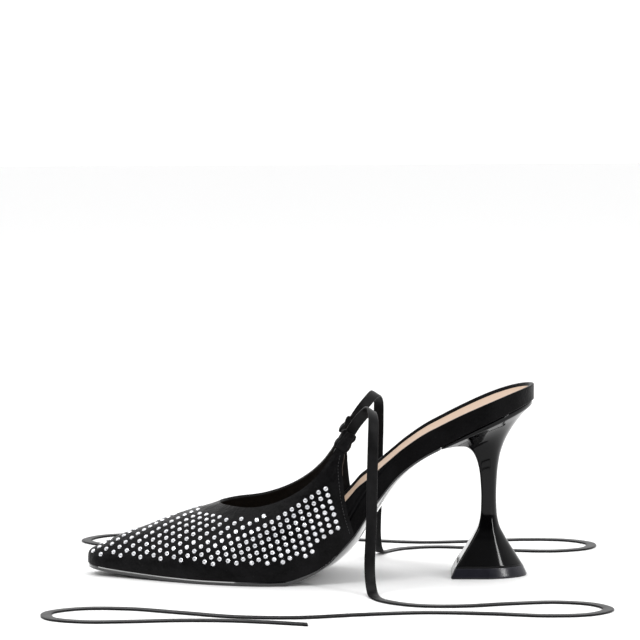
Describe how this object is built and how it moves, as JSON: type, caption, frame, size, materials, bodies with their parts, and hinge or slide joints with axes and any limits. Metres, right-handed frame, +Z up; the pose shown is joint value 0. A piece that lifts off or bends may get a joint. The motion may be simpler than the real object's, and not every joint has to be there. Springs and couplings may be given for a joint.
{
  "type": "lace-up spool heel pump",
  "caption": "Pointed, open-back evening shoe with a hollow satin upper, two wings that carry long ankle ties, a banded footbed and a high spool heel.",
  "frame": {"origin": "middle of the shoe's footprint box, on the floor; the two ties aren't counted", "axes": "+X from toe to heel, +Y from the wearer's outer side to the inner side of this left shoe, +Z up"},
  "size_m": [0.2865, 0.2873, 0.1006],
  "materials": {
    "satin": "black satin",
    "tie": "black satin ribbon",
    "sock": "matt beige",
    "sole": "gloss black",
    "lacquer": "gloss black lacquer",
    "top_piece": "semi-gloss slate"
  },
  "bodies": {
    "root": {"outsole": "sole", "footbed": "satin", "sock_lining": "sock", "upper": "satin", "heel": "lacquer", "heel_tip": "top_piece", "tie_loop_lateral": "satin", "tie_loop_medial": "satin", "tie_lateral": "tie", "tie_medial": "tie"}
  },
  "joints": []
}
